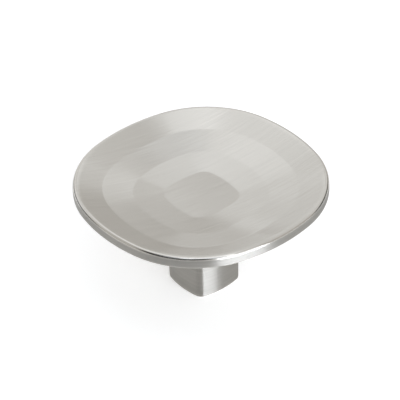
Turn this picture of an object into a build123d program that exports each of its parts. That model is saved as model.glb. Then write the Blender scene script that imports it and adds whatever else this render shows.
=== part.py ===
from build123d import *
from math import atan2, degrees, radians, sqrt, tan
import os

# A cabinet knob cast in one piece: a dished square head with bowed sides, on a square stem that is tapped.
# Millimetres. The origin is the centre of the stem's base, on the door, and +Z points out of the door.
# Every outline is parallel to that of the base, so one section, turned round the base's arcs, gives the knob.

# Outline of the base: a square with bowed sides and round corners, its flats facing X and Y
base_across_flats = 11.65
base_side_radius = 18.0
base_corner_radius = 1.9

# Stem
stem_draft = 1.0  # degrees, widening towards the head
stem_fillet = 3.0
base_chamfer = 0.2

# Dish: a flat centre panel, and three rings of one width that rise from it to the rim
panel_across_flats = 12.9
ring_width = 5.85
inner_ring_rise = 0.7
middle_ring_rise = 1.2
outer_ring_rise = 2.0

# Rim and wall of the head
projection = 24.2  # from the door to the rim, before the lip is rounded
edge_height = 2.5
lip_radius = 0.7
lower_chamfer = 0.25
floor_thickness = 2.6  # under the centre panel

# Blind hole for an M4 screw, at the tapping drill's size
hole_diameter = 3.3
hole_depth = 13.0  # of the round wall, from the base
mouth_diameter = 4.5  # 90 degree countersink
drill_point_angle = 118.0

# Corners of the section: how far each lies outside the base's outline, and its height
panel_outset = (panel_across_flats - base_across_flats) / 2
panel_height = projection - outer_ring_rise - middle_ring_rise - inner_ring_rise
underside_height = panel_height - floor_thickness
panel_edge = Vector(panel_outset, panel_height)
inner_crease = panel_edge + Vector(ring_width, inner_ring_rise)
outer_crease = inner_crease + Vector(ring_width, middle_ring_rise)
rim = outer_crease + Vector(ring_width, outer_ring_rise)
edge_foot = rim - Vector(0, edge_height)
stem_top = Vector(underside_height * tan(radians(stem_draft)), underside_height)
base_edge = Vector(0, 0)

# Arcs of the base's outline: those of the sides are centred past the axis, and meet those of the corners
side_offset = base_side_radius - base_across_flats / 2
core_side_radius = base_side_radius - base_corner_radius
corner_offset = (sqrt(2 * core_side_radius**2 - side_offset**2) - side_offset) / 2
meeting_angle = degrees(atan2(corner_offset, corner_offset + side_offset))


def upright_plane(centre, angle):
    """An upright plane through centre: its X points outwards at angle degrees, and its Y points up."""
    outwards = Vector(1, 0, 0).rotate(Axis.Z, angle)
    return Plane(origin=centre, x_dir=outwards, z_dir=outwards.cross(Vector(0, 0, 1)))


# Section through one side of the knob, from the centre of the corner arcs outwards
with BuildSketch() as section:
    with BuildLine():
        Polyline(
            (-base_corner_radius, 0),
            base_edge,
            stem_top,
            edge_foot,
            rim,
            outer_crease,
            inner_crease,
            panel_edge,
            (-base_corner_radius, panel_height),
            close=True,
        )
    make_face()
    chamfer(section.vertices().sort_by_distance(base_edge)[0], length=base_chamfer)
    fillet(section.vertices().sort_by_distance(stem_top)[0], radius=stem_fillet)
    chamfer(section.vertices().sort_by_distance(edge_foot)[0], length=lower_chamfer)
    fillet(section.vertices().sort_by_distance(rim)[0], radius=lip_radius)

# One side and the corner after it, by turning the section about the centres of their arcs
side_centre = (-side_offset, 0, 0)
corner_centre = (corner_offset, corner_offset, 0)
with BuildPart() as quarter:
    with BuildSketch(upright_plane(side_centre, -meeting_angle)):
        with Locations((base_side_radius, 0)):
            add(section.sketch)
    revolve(axis=Axis(side_centre, (0, 0, 1)), revolution_arc=2 * meeting_angle)
    with BuildSketch(upright_plane(corner_centre, meeting_angle)):
        with Locations((base_corner_radius, 0)):
            add(section.sketch)
    revolve(axis=Axis(corner_centre, (0, 0, 1)), revolution_arc=90 - 2 * meeting_angle)

with BuildPart() as knob:
    # Core between the centres of the corner arcs
    core_half = base_across_flats / 2 - base_corner_radius
    with BuildSketch():
        with BuildLine():
            side = ThreePointArc(
                (corner_offset, -corner_offset),
                (core_half, 0),
                (corner_offset, corner_offset),
            )
            for turn in (90, 180, 270):
                add(side.rotate(Axis.Z, turn))
        make_face()
    extrude(amount=panel_height)
    # Four sides and corners round it
    with PolarLocations(0, 4):
        add(quarter.part)
    # Tapped hole, turned in one profile
    hole_radius = hole_diameter / 2
    mouth_radius = mouth_diameter / 2
    drill_point = hole_radius / tan(radians(drill_point_angle / 2))
    with BuildSketch(Plane.XZ):
        with BuildLine():
            Polyline(
                (0, 0),
                (mouth_radius, 0),
                (hole_radius, mouth_radius - hole_radius),
                (hole_radius, hole_depth),
                (0, hole_depth + drill_point),
                close=True,
            )
        make_face()
    revolve(axis=Axis.Z, mode=Mode.SUBTRACT)

os.makedirs("parts", exist_ok=True)
knob.part.label = "knob"
export_step(knob.part, "parts/knob.step")
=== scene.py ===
import bpy
import bmesh
import math
from mathutils import Matrix, Vector


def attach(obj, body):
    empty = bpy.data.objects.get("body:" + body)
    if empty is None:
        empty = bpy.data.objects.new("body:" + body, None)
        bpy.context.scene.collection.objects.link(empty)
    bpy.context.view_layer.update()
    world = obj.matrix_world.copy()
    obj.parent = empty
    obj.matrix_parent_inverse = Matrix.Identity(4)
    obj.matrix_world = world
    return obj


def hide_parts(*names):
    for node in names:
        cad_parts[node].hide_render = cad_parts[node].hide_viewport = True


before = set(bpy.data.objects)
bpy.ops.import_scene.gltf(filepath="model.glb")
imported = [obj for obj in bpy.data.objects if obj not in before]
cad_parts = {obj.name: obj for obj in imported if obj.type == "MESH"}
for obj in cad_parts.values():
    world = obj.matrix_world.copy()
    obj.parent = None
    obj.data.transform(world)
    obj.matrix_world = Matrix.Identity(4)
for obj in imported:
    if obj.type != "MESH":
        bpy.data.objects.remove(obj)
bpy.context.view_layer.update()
scene = bpy.context.scene
scene.view_settings.view_transform = "Standard"
mm = 0.001
print("frame loaded")


# small helpers for node trees
def connect(tree, value, socket):
    if isinstance(value, bpy.types.NodeSocket):
        tree.links.new(value, socket)
    else:
        socket.default_value = value


def addNode(tree, kind, inputs=None, **properties):
    node = tree.nodes.new(kind)
    for name, value in properties.items():
        setattr(node, name, value)
    for key, value in (inputs or {}).items():
        connect(tree, value, node.inputs[key])
    return node


def calc(tree, operation, *values):
    node = addNode(tree, "ShaderNodeMath", operation=operation)
    for index, value in enumerate(values):
        connect(tree, value, node.inputs[index])
    return node.outputs[0]


def vectorOf(tree, x, y, z):
    return addNode(tree, "ShaderNodeCombineXYZ", {0: x, 1: y, 2: z}).outputs[0]


def partsOf(tree, vector):
    return addNode(tree, "ShaderNodeSeparateXYZ", {0: vector}).outputs


def vectorCalc(tree, operation, first, second):
    node = addNode(tree, "ShaderNodeVectorMath", {0: first}, operation=operation)
    connect(tree, second, node.inputs["Scale" if operation == "SCALE" else 1])
    return node.outputs["Value" if operation in ("DISTANCE", "DOT_PRODUCT") else "Vector"]


def mapRange(tree, value, fromMin, fromMax, toMin, toMax, smooth=False):
    ends = {"From Min": fromMin, "From Max": fromMax, "To Min": toMin, "To Max": toMax}
    kind = "SMOOTHSTEP" if smooth else "LINEAR"
    return addNode(tree, "ShaderNodeMapRange", {"Value": value, **ends}, interpolation_type=kind).outputs[0]


def choose(tree, kind, test, whenTrue, whenFalse):
    inputs = {"Switch": test, "True": whenTrue, "False": whenFalse}
    return addNode(tree, "GeometryNodeSwitch", inputs, input_type=kind).outputs[0]


# the knob, one casting: a section swept round the outline of its base; sizes in mm
knob = {
    "baseFlats": 11.65, "sideRadius": 18.0, "cornerRadius": 1.9,  # outline of the base, a bowed square
    "stemDraft": 1.0, "stemFillet": 3.0, "baseRound": 0.2,
    "panelFlats": 12.9, "ringWidth": 5.85, "ringRises": (0.7, 1.2, 2.0),  # the dish, from the panel outwards
    "creaseRound": 2.5,  # the creases are a little soft from the polishing
    "projection": 24.2, "edgeHeight": 2.5, "lipRound": 0.7, "edgeRound": 0.25, "floorThickness": 2.6,
    "holeRadius": 1.65, "threadRadius": 1.98, "threadPitch": 0.7, "mouthRadius": 2.25,
    "holeDepth": 13.0, "tappedDepth": 11.6, "pointDepth": 0.99,
    "margin": 0.6,  # flat strip inside the first and last corner of the section
    "rubReach": 1.7,  # how far the wear goes from the lip and the edges
    "brushAngle": 80.0,  # degrees from +X, the grain across the dish
    "grainLevel": 0.6,  # faces whose normal points up or down by more than this have the straight grain
    "headGirth": 24.0, "stemGirth": 6.4, "girthSplit": 12.0,  # radii that lay the round grain out to scale
    "rowLength": 0.8, "columns": 192, "weld": 0.004,
    "creaseSteps": 3, "lipSteps": 14, "edgeSteps": 4, "filletSteps": 10, "baseSteps": 4,  # cuts in each round
    "panelRows": 6, "baseRows": 4, "threadRows": 4,  # thread: rows to one turn of the helix
    "crispAngle": 32.0,  # degrees: sharper edges, as on the thread and the hole's mouth, stay crisp
}
knobLengths = ["baseFlats", "sideRadius", "cornerRadius", "creaseRound", "lipRound", "edgeRound", "stemFillet",
               "baseRound", "holeRadius", "threadRadius", "threadPitch", "mouthRadius", "holeDepth",
               "tappedDepth", "pointDepth", "rubReach", "rowLength", "headGirth", "stemGirth", "girthSplit", "weld"]


def sectionCorners(size):
    # (outset from the base's outline, 0, height) of each corner, in metres
    outset = (size["panelFlats"] - size["baseFlats"]) / 2
    height = size["projection"] - sum(size["ringRises"])
    stemTop = height - size["floorThickness"]
    corners = {"panelStart": (outset - size["margin"], height), "panelEdge": (outset, height)}
    for name, rise in zip(("innerCrease", "outerCrease", "rim"), size["ringRises"]):
        outset += size["ringWidth"]
        height += rise
        corners[name] = (outset, height)
    corners["edgeFoot"] = (outset, height - size["edgeHeight"])
    corners["stemTop"] = (stemTop * math.tan(math.radians(size["stemDraft"])), stemTop)
    corners["baseEdge"] = (0, 0)
    corners["baseEnd"] = (-size["margin"], 0)
    return {name: (x * mm, 0, z * mm) for name, (x, z) in corners.items()}


def buildKnobTree(size, cornerNames):
    tree = bpy.data.node_groups.new("knobTree", "GeometryNodeTree")
    tree.interface.new_socket("Geometry", in_out="OUTPUT", socket_type="NodeSocketGeometry")
    kinds = {name: "NodeSocketFloat" for name in knobLengths + ["brushAngle"]}
    kinds.update({name: "NodeSocketVector" for name in cornerNames})
    kinds.update({"columns": "NodeSocketInt", "finish": "NodeSocketMaterial"})
    for name, kind in kinds.items():
        tree.interface.new_socket(name, in_out="INPUT", socket_type=kind)
    given = addNode(tree, "NodeGroupInput").outputs
    index = addNode(tree, "GeometryNodeInputIndex").outputs[0]
    position = addNode(tree, "GeometryNodeInputPosition").outputs[0]
    workNames = ("turn", "row", "inset")  # on the points only while the shape is made
    turn, row, inset = (
        addNode(tree, "GeometryNodeInputNamedAttribute", {"Name": name}, data_type="FLOAT").outputs[0]
        for name in workNames)

    # outline of the base: for each turn, the arc's centre and radius and the direction outwards
    sideOffset = calc(tree, "SUBTRACT", given["sideRadius"], calc(tree, "DIVIDE", given["baseFlats"], 2))
    coreRadius = calc(tree, "SUBTRACT", given["sideRadius"], given["cornerRadius"])
    twoCores = calc(tree, "MULTIPLY", calc(tree, "POWER", coreRadius, 2), 2)
    reach = calc(tree, "SQRT", calc(tree, "SUBTRACT", twoCores, calc(tree, "POWER", sideOffset, 2)))
    cornerOffset = calc(tree, "DIVIDE", calc(tree, "SUBTRACT", reach, sideOffset), 2)
    meetingAngle = calc(tree, "ARCTAN2", cornerOffset, calc(tree, "ADD", cornerOffset, sideOffset))
    quarter = calc(tree, "SNAP", calc(tree, "ADD", turn, math.pi / 4), math.pi / 2)
    fromFlat = calc(tree, "SUBTRACT", turn, quarter)
    onSide = calc(tree, "LESS_THAN", calc(tree, "ABSOLUTE", fromFlat), meetingAngle)
    cornerShift = calc(tree, "MULTIPLY", cornerOffset, calc(tree, "SIGN", fromFlat))
    centre = choose(tree, "VECTOR", onSide, vectorOf(tree, calc(tree, "MULTIPLY", sideOffset, -1), 0, 0),
                    vectorOf(tree, cornerOffset, cornerShift, 0))
    centre = addNode(tree, "ShaderNodeVectorRotate", {"Vector": centre, "Angle": quarter},
                     rotation_type="Z_AXIS").outputs[0]
    arcRadius = choose(tree, "FLOAT", onSide, given["sideRadius"], given["cornerRadius"])
    outwards = vectorOf(tree, calc(tree, "COSINE", turn), calc(tree, "SINE", turn), 0)

    def onOutline(outset):
        radius = calc(tree, "ADD", arcRadius, outset)
        return vectorCalc(tree, "ADD", centre, vectorCalc(tree, "SCALE", outwards, radius))

    def stored(shape, name, value, kind="FLOAT", domain="POINT"):
        return addNode(tree, "GeometryNodeStoreNamedAttribute", {"Geometry": shape, "Name": name, "Value": value},
                       data_type=kind, domain=domain).outputs[0]

    def ringGrid(rows):
        # rows of points that go once round, each with its turn and its row number
        around = calc(tree, "ADD", given["columns"], 1)
        grid = addNode(tree, "GeometryNodeMeshGrid", {"Vertices X": around, "Vertices Y": rows}).outputs["Mesh"]
        column = calc(tree, "FLOOR", calc(tree, "DIVIDE", calc(tree, "ADD", index, 0.5), rows))
        turns = calc(tree, "MULTIPLY", calc(tree, "DIVIDE", column, given["columns"]), 2 * math.pi)
        rowNumber = calc(tree, "SUBTRACT", index, calc(tree, "MULTIPLY", column, rows))
        return stored(stored(grid, "turn", turns), "row", rowNumber)

    def placed(grid, point, height):
        lifted = vectorCalc(tree, "ADD", point, vectorOf(tree, 0, 0, height))
        return addNode(tree, "GeometryNodeSetPosition", {"Geometry": grid, "Position": lifted}).outputs[0]

    def blended(first, second, factor):
        mix = addNode(tree, "ShaderNodeMix", data_type="VECTOR")
        for socket, value in zip((mix.inputs[0], mix.inputs[4], mix.inputs[5]), (factor, first, second)):
            connect(tree, value, socket)
        return mix.outputs[1]

    def chosenByIndex(kind, values):
        node = addNode(tree, "GeometryNodeIndexSwitch", {"Index": index}, data_type=kind)
        while len(node.index_switch_items) < len(values):
            node.index_switch_items.new()
        for number, value in enumerate(values):
            connect(tree, value, node.inputs[number + 1])
        return node.outputs[0]

    # the section as a curve, its corners rounded and its long runs cut into rows
    crease = (given["creaseRound"], size["creaseSteps"])
    rounds = {
        "panelEdge": crease, "innerCrease": crease, "outerCrease": crease,
        "rim": (given["lipRound"], size["lipSteps"]), "edgeFoot": (given["edgeRound"], size["edgeSteps"]),
        "stemTop": (given["stemFillet"], size["filletSteps"]), "baseEdge": (given["baseRound"], size["baseSteps"]),
    }
    radii, steps = zip(*(rounds.get(name, (0, 1)) for name in cornerNames))
    line = addNode(tree, "GeometryNodeCurvePrimitiveLine").outputs[0]
    line = addNode(tree, "GeometryNodeResampleCurve", {"Curve": line, "Count": len(cornerNames)}).outputs[0]
    corners = chosenByIndex("VECTOR", [given[name] for name in cornerNames])
    line = addNode(tree, "GeometryNodeSetPosition", {"Geometry": line, "Position": corners}).outputs[0]
    line = addNode(tree, "GeometryNodeFilletCurve", {"Curve": line, "Count": chosenByIndex("INT", steps),
                   "Radius": chosenByIndex("FLOAT", radii)}, mode="POLY").outputs[0]
    following = addNode(tree, "GeometryNodeFieldAtIndex", {"Value": position, "Index": calc(tree, "ADD", index, 1)},
                        data_type="FLOAT_VECTOR", domain="POINT").outputs[0]
    run = vectorCalc(tree, "DISTANCE", position, following)
    cuts = calc(tree, "FLOOR", calc(tree, "DIVIDE", run, given["rowLength"]))
    line = addNode(tree, "GeometryNodeSubdivideCurve", {"Curve": line, "Cuts": cuts}).outputs[0]
    lineRows = addNode(tree, "GeometryNodeAttributeDomainSize", {0: line}, component="CURVE").outputs["Point Count"]
    onLine = addNode(tree, "GeometryNodeSampleIndex", {"Geometry": line, "Value": position, "Index": row},
                     data_type="FLOAT_VECTOR", domain="POINT").outputs[0]
    outset, _, height = partsOf(tree, onLine)
    wall = placed(ringGrid(lineRows), onOutline(outset), height)
    wall = stored(wall, "inset", calc(tree, "MULTIPLY", outset, -1))

    # wear: one at the lip and the outer edges, nothing further off; the edges have half the lip's reach
    nearest = vectorCalc(tree, "DISTANCE", onLine, given["rim"])
    for name in ("edgeFoot", "baseEdge"):
        fromEdge = calc(tree, "MULTIPLY", vectorCalc(tree, "DISTANCE", onLine, given[name]), 2)
        nearest = calc(tree, "MINIMUM", nearest, fromEdge)
    rubStart = calc(tree, "DIVIDE", given["rubReach"], 4)
    wall = stored(wall, "rubbed", mapRange(tree, nearest, rubStart, given["rubReach"], 1, 0, smooth=True))

    # panel in the middle of the dish, closed at its centre
    panelRows = size["panelRows"]
    panelOutset, _, panelHeight = partsOf(tree, given["panelStart"])
    inwards = calc(tree, "DIVIDE", row, panelRows - 1)
    panel = placed(ringGrid(panelRows), blended(onOutline(panelOutset), (0, 0, 0), inwards), panelHeight)

    # base, from the stem's outline to the round mouth of the hole
    baseRows = size["baseRows"]
    baseOutset = partsOf(tree, given["baseEnd"])[0]
    inwards = calc(tree, "DIVIDE", row, baseRows - 1)
    mouth = vectorCalc(tree, "SCALE", outwards, given["mouthRadius"])
    base = placed(ringGrid(baseRows), blended(onOutline(baseOutset), mouth, inwards), 0.0)

    # tapped wall: the rows follow the helix, half of them in the root and half on the crest
    rowsInTurn = size["threadRows"]
    turnsInHole = math.ceil(size["holeDepth"] / size["threadPitch"]) + 2
    helixTurns = calc(tree, "ADD", calc(tree, "DIVIDE", row, rowsInTurn), calc(tree, "DIVIDE", turn, 2 * math.pi))
    climb = calc(tree, "MULTIPLY", calc(tree, "SUBTRACT", helixTurns, 1), given["threadPitch"])
    climb = calc(tree, "MINIMUM", calc(tree, "MAXIMUM", climb, 0), given["holeDepth"])
    inRoot = calc(tree, "LESS_THAN", calc(tree, "MODULO", row, rowsInTurn), rowsInTurn / 2 - 0.5)
    fade = mapRange(tree, climb, given["tappedDepth"], given["holeDepth"], 1, 0)
    depth = calc(tree, "MULTIPLY", calc(tree, "SUBTRACT", given["threadRadius"], given["holeRadius"]), fade)
    tapRadius = calc(tree, "ADD", given["holeRadius"], calc(tree, "MULTIPLY", depth, inRoot))
    wallRadius = calc(tree, "MAXIMUM", tapRadius, calc(tree, "SUBTRACT", given["mouthRadius"], climb))
    thread = placed(ringGrid(turnsInHole * rowsInTurn), vectorCalc(tree, "SCALE", outwards, wallRadius), climb)

    # cone that the drill leaves
    coneRadius = calc(tree, "MULTIPLY", given["holeRadius"], calc(tree, "SUBTRACT", 1, row))
    coneHeight = calc(tree, "ADD", given["holeDepth"], calc(tree, "MULTIPLY", given["pointDepth"], row))
    cone = placed(ringGrid(2), vectorCalc(tree, "SCALE", outwards, coneRadius), coneHeight)

    # grain map in metres, along and across the brushing: straight over what faces up or down, round the rest
    normal = addNode(tree, "GeometryNodeInputNormal").outputs[0]
    facing = addNode(tree, "GeometryNodeFieldOnDomain", {"Value": normal}, data_type="FLOAT_VECTOR",
                     domain="FACE").outputs[0]
    level = calc(tree, "GREATER_THAN", calc(tree, "ABSOLUTE", partsOf(tree, facing)[2]), size["grainLevel"])
    x, y, z = partsOf(tree, position)
    fromAxis = calc(tree, "SQRT", calc(tree, "ADD", calc(tree, "POWER", x, 2), calc(tree, "POWER", y, 2)))
    backTurn = calc(tree, "MULTIPLY", given["brushAngle"], -1)
    straight = addNode(tree, "ShaderNodeVectorRotate", {"Vector": position, "Angle": backTurn},
                       rotation_type="Z_AXIS").outputs[0]
    onHead = calc(tree, "GREATER_THAN", fromAxis, given["girthSplit"])
    girth = choose(tree, "FLOAT", onHead, given["headGirth"], given["stemGirth"])
    roundAbout = vectorOf(tree, calc(tree, "MULTIPLY", turn, girth), calc(tree, "ADD", z, inset), 0)

    parts = addNode(tree, "GeometryNodeJoinGeometry")
    for piece in (cone, thread, base, panel, wall):
        tree.links.new(piece, parts.inputs[0])
    grain = choose(tree, "VECTOR", level, straight, roundAbout)
    whole = stored(parts.outputs[0], "grainMap", grain, "FLOAT2", "CORNER")
    whole = addNode(tree, "GeometryNodeMergeByDistance", {"Geometry": whole, "Distance": given["weld"]}).outputs[0]
    for name in workNames:
        whole = addNode(tree, "GeometryNodeRemoveAttribute", {"Geometry": whole, "Name": name}).outputs[0]
    whole = addNode(tree, "GeometryNodeRealizeInstances", {"Geometry": whole}).outputs[0]
    whole = addNode(tree, "GeometryNodeSetMaterial", {"Geometry": whole, "Material": given["finish"]}).outputs[0]
    addNode(tree, "NodeGroupOutput", {0: whole})
    return tree


def makeKnob(size, finish):
    corners = sectionCorners(size)
    maker = bpy.data.objects.new("knobMaker", bpy.data.meshes.new("knobMaker"))
    scene.collection.objects.link(maker)
    modifier = maker.modifiers.new("knob", "NODES")
    modifier.node_group = buildKnobTree(size, list(corners))
    values = {name: size[name] * mm for name in knobLengths}
    values.update(corners)
    values.update({"brushAngle": math.radians(size["brushAngle"]), "columns": size["columns"], "finish": finish})
    for socket in modifier.node_group.interface.items_tree:
        if socket.in_out == "INPUT":
            modifier[socket.identifier] = values[socket.name]
    evaluated = maker.evaluated_get(bpy.context.evaluated_depsgraph_get())
    mesh = bpy.data.meshes.new_from_object(evaluated)
    mesh.name = "knobBody"
    bpy.data.objects.remove(maker)
    shape = bmesh.new()
    shape.from_mesh(mesh)
    bmesh.ops.recalc_face_normals(shape, faces=shape.faces)
    for face in shape.faces:
        face.smooth = True
    crispAngle = math.radians(size["crispAngle"])
    for edge in shape.edges:
        edge.smooth = len(edge.link_faces) == 2 and edge.calc_face_angle() < crispAngle
    triangles = sum(len(face.verts) - 2 for face in shape.faces)
    openEdges = sum(len(edge.link_faces) != 2 for edge in shape.edges)
    volume = round(shape.calc_volume() / mm**3, 1)
    print("knob:", len(shape.verts), "points,", triangles, "triangles,", openEdges, "open edges,", volume, "mm3")
    shape.to_mesh(mesh)
    shape.free()
    return bpy.data.objects.new("knobBody", mesh)


# satin nickel: brushed plate, its streaks along the grain map
nickel = {
    "color": (0.66, 0.64, 0.60), "sidePaintedShade": 0.65,  # painted shade: the edge and the stem are darker than the dish, in place of the shaded floor they mirror
    "dishRoughness": 0.147, "sideRoughness": 0.46, "anisotropic": 1.0,
    "toneBlend": (0.1, 0.5), "roughnessBlend": (0.32, 0.62),  # upward part of the normal, from side to dish
    "fineStreak": (110, 6200), "broadStreak": (24, 1900),  # per metre, along and across the grain
    "fineDetail": 3.0, "broadDetail": 2.0, "cloudDetail": 2.0, "cloudScale": 70.0,
    "fineTone": 0.13, "broadTone": 0.05, "sideStreak": 0.26, "cloudTone": 0.03, "rubTone": 0.05,
    "streakRoughness": 0.35, "rubPolish": 0.05,
    "fineDepth": 0.0008, "broadDepth": 0.0010,  # mm
}


def makeNickel(look):
    material = bpy.data.materials.new("satinNickel")
    material.use_nodes = True
    tree = material.node_tree
    tree.nodes.clear()
    grain = addNode(tree, "ShaderNodeUVMap", uv_map="grainMap").outputs[0]
    tangent = addNode(tree, "ShaderNodeTangent", direction_type="UV_MAP", uv_map="grainMap").outputs[0]
    own = addNode(tree, "ShaderNodeTexCoord").outputs
    rubbed = addNode(tree, "ShaderNodeAttribute", attribute_name="rubbed").outputs["Fac"]

    def streaks(frequency, detail):
        stretched = addNode(tree, "ShaderNodeMapping", {"Vector": grain, "Scale": (*frequency, 1)}).outputs[0]
        noise = addNode(tree, "ShaderNodeTexNoise", {"Vector": stretched, "Scale": 1.0, "Detail": detail},
                        noise_dimensions="2D")
        return calc(tree, "SUBTRACT", noise.outputs[0], 0.5)

    def summed(first, *pairs):
        for value, factor in pairs:
            first = calc(tree, "MULTIPLY_ADD", value, factor, first)
        return first

    fine = streaks(look["fineStreak"], look["fineDetail"])
    broad = streaks(look["broadStreak"], look["broadDetail"])
    cloud = addNode(tree, "ShaderNodeTexNoise", {"Vector": own["Object"], "Scale": look["cloudScale"],
                                                 "Detail": look["cloudDetail"]}).outputs[0]
    cloud = calc(tree, "SUBTRACT", cloud, 0.5)

    # the edge and the stem are brushed round and coarser than the dish, and darkened with painted shade in place of
    # the shaded floor they mirror
    level = calc(tree, "ABSOLUTE", partsOf(tree, own["Normal"])[2])
    broadTone = mapRange(tree, level, *look["toneBlend"], look["sideStreak"], look["broadTone"], smooth=True)
    # painted shade: faces turned sideways get a darker colour than the dish
    paintedShadeTone = mapRange(tree, level, *look["toneBlend"], look["sidePaintedShade"], 1.0, smooth=True)
    tone = summed(1.0, (fine, look["fineTone"]), (broad, broadTone), (cloud, look["cloudTone"]),
                  (rubbed, look["rubTone"]))
    color = vectorCalc(tree, "SCALE", look["color"], calc(tree, "MULTIPLY", tone, paintedShadeTone))
    roughness = mapRange(tree, level, *look["roughnessBlend"], look["sideRoughness"], look["dishRoughness"],
                         smooth=True)
    roughness = calc(tree, "MULTIPLY", roughness, summed(1.0, (fine, look["streakRoughness"])))
    roughness = summed(roughness, (rubbed, -look["rubPolish"]))
    height = summed(calc(tree, "MULTIPLY", fine, look["fineDepth"]), (broad, look["broadDepth"]))
    bump = addNode(tree, "ShaderNodeBump", {"Height": height, "Strength": 1.0, "Distance": mm}).outputs[0]
    shader = addNode(tree, "ShaderNodeBsdfPrincipled", {
        "Base Color": color, "Metallic": 1.0, "Roughness": roughness, "Anisotropic": look["anisotropic"],
        "Anisotropic Rotation": 0.25,  # a quarter turn: the streaks spread light across the grain
        "Tangent": tangent, "Normal": bump})
    addNode(tree, "ShaderNodeOutputMaterial", {"Surface": shader.outputs[0]})
    return material


body = makeKnob(knob, makeNickel(nickel))
scene.collection.objects.link(body)
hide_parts("knob")
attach(body, "root")
print("knob made and finished")

# camera, fitted to the outline in the picture; distances in mm, angles in degrees
cameraView = {
    "azimuth": 51.585, "elevation": 36.73, "roll": -2.007, "distance": 566.7,
    "pixelsPerMm": 5.132, "target": (0, 0, 23.92), "targetPixel": (200.68, 179.58), "pictureSize": 400,
    "sensorWidth": 36, "clip": (0.01, 20),  # clip in metres
}


def levelAxes(azimuth):
    # to the right and straight back, as the camera sees the floor
    angle = math.radians(azimuth)
    return Vector((math.cos(angle), math.sin(angle), 0)), Vector((-math.sin(angle), math.cos(angle), 0))


def makeCamera(view):
    elevation, roll = math.radians(view["elevation"]), math.radians(view["roll"])
    level, away = levelAxes(view["azimuth"])
    towards = Vector((0, 0, math.sin(elevation))) - away * math.cos(elevation)
    raised = towards.cross(level)
    right = level * math.cos(roll) + raised * math.sin(roll)
    up = raised * math.cos(roll) - level * math.sin(roll)
    target = Vector(view["target"])
    middle = view["pictureSize"] / 2
    offX, offY = ((middle - pixel) / view["pixelsPerMm"] for pixel in view["targetPixel"])
    place = target + towards * view["distance"]
    back = (place - (target + right * offX - up * offY)).normalized()
    right = (right - back * right.dot(back)).normalized()
    data = bpy.data.cameras.new("camera")
    data.sensor_width = view["sensorWidth"]
    data.lens = view["pixelsPerMm"] * view["distance"] / view["pictureSize"] * view["sensorWidth"]
    data.clip_start, data.clip_end = view["clip"]
    camera = bpy.data.objects.new("camera", data)
    turned = Matrix((right, back.cross(right), back)).transposed()
    camera.matrix_world = Matrix.Translation(place * mm) @ turned.to_4x4()
    scene.collection.objects.link(camera)
    return camera


scene.camera = makeCamera(cameraView)

# floor, in metres; its glow is what camera, metal and glass see, and lights nothing else
floorLook = {"reach": 3.0, "color": (0.9, 0.9, 0.9), "glow": 0.41}


def makeFloor(look):
    reach = look["reach"]
    mesh = bpy.data.meshes.new("floor")
    mesh.from_pydata([(-reach, -reach, 0), (reach, -reach, 0), (reach, reach, 0), (-reach, reach, 0)],
                     [], [(0, 1, 2, 3)])
    material = bpy.data.materials.new("paleFloor")
    material.use_nodes = True
    tree = material.node_tree
    tree.nodes.clear()
    sheet = addNode(tree, "ShaderNodeBsdfDiffuse", {"Color": (*look["color"], 1)}).outputs[0]
    rays = addNode(tree, "ShaderNodeLightPath").outputs
    seen = calc(tree, "ADD", rays["Is Camera Ray"], rays["Is Glossy Ray"])
    seen = calc(tree, "ADD", seen, rays["Is Transmission Ray"])
    glow = calc(tree, "MULTIPLY", calc(tree, "MINIMUM", seen, 1.0), look["glow"])
    glow = addNode(tree, "ShaderNodeEmission", {"Color": (1, 1, 1, 1), "Strength": glow}).outputs[0]
    sheet = addNode(tree, "ShaderNodeAddShader", {0: sheet, 1: glow}).outputs[0]
    addNode(tree, "ShaderNodeOutputMaterial", {"Surface": sheet})
    mesh.materials.append(material)
    floor = bpy.data.objects.new("floor", mesh)
    scene.collection.objects.link(floor)
    return floor


floor = makeFloor(floorLook)
print("camera and floor made")

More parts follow.
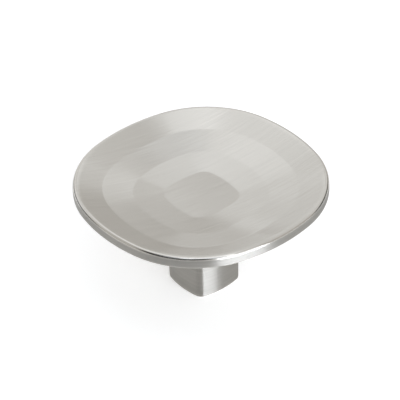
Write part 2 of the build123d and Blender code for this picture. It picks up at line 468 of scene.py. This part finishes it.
# studio: an even surround with a few darker shades, and soft panels
studio = {
    "surround": (0.585, 0.574, 0.555),
    # azimuth from straight back, elevation, inner and outer reach in degrees, share of the surround that is left
    "shades": {
        "camera": (-153, 54, 27, 40, 0.08),
        "leftFlag": (-58, -4, 20, 35, 0.15),
        "rightFlag": (58, -4, 20, 35, 0.15),
        "topFlag": (11, 59, 3, 10, 0.74),
    },
    "panelColor": (0.95, 1.0, 1.08), "panelDistance": 0.8,
    # azimuth, elevation, half width and half height in degrees, radiance
    "panels": {
        "overhead": (-15, 63, 17, 18, 0.22),
        "leftBack": (-36, 20, 29, 19, 0.23),
        "top": (-55, 88, 24, 12, 0.34),
        "upperBack": (-24, 43, 36, 13, 0.15),
        "upperLeft": (-79, 75, 45, 11, 0.17),
        "right": (46, 45, 24, 22, 0.16),
        "lowBack": (-1.4, 11, 5, 9.7, 0.20),
        "key": (142, 9, 21, 8.5, 11.0),
        "keyTop": (141, 40, 19, 22, 0.8),
        "ceiling": (165, 76, 16, 9, 1.2),
        "rightBack": (16.5, 39.5, 6, 9.5, 0.11),
    },
}


def directionOf(azimuth, elevation):
    level, away = levelAxes(cameraView["azimuth"])
    turn, rise = math.radians(azimuth), math.radians(elevation)
    return (level * math.sin(turn) + away * math.cos(turn)) * math.cos(rise) + Vector((0, 0, math.sin(rise)))


def makePanel(name, azimuth, elevation, halfWidth, halfHeight, radiance):
    data = bpy.data.lights.new(name, "AREA")
    data.shape = "RECTANGLE"
    data.size = 2 * studio["panelDistance"] * math.tan(math.radians(halfWidth))
    data.size_y = 2 * studio["panelDistance"] * math.tan(math.radians(halfHeight))
    data.energy = radiance * math.pi * data.size * data.size_y
    data.color = studio["panelColor"]
    panel = bpy.data.objects.new(name, data)
    outwards = directionOf(azimuth, elevation)
    across = directionOf(azimuth + 90, 0)
    turned = Matrix((across, outwards.cross(across), outwards)).transposed()
    panel.matrix_world = Matrix.Translation(outwards * studio["panelDistance"]) @ turned.to_4x4()
    panel.visible_camera = False
    scene.collection.objects.link(panel)


def makeSurround():
    world = bpy.data.worlds.new("studio")
    scene.world = world
    world.use_nodes = True
    tree = world.node_tree
    tree.nodes.clear()
    seen = addNode(tree, "ShaderNodeTexCoord").outputs["Generated"]
    strength = 1.0
    for azimuth, elevation, inner, outer, share in studio["shades"].values():
        nearness = vectorCalc(tree, "DOT_PRODUCT", seen, directionOf(azimuth, elevation))
        ends = (math.cos(math.radians(angle)) for angle in (outer, inner))
        strength = calc(tree, "MULTIPLY", strength, mapRange(tree, nearness, *ends, 1.0, share, smooth=True))
    background = addNode(tree, "ShaderNodeBackground", {"Color": (*studio["surround"], 1), "Strength": strength})
    addNode(tree, "ShaderNodeOutputWorld", {"Surface": background.outputs[0]})


makeSurround()
for name, panel in studio["panels"].items():
    makePanel(name, *panel)
print("studio made")
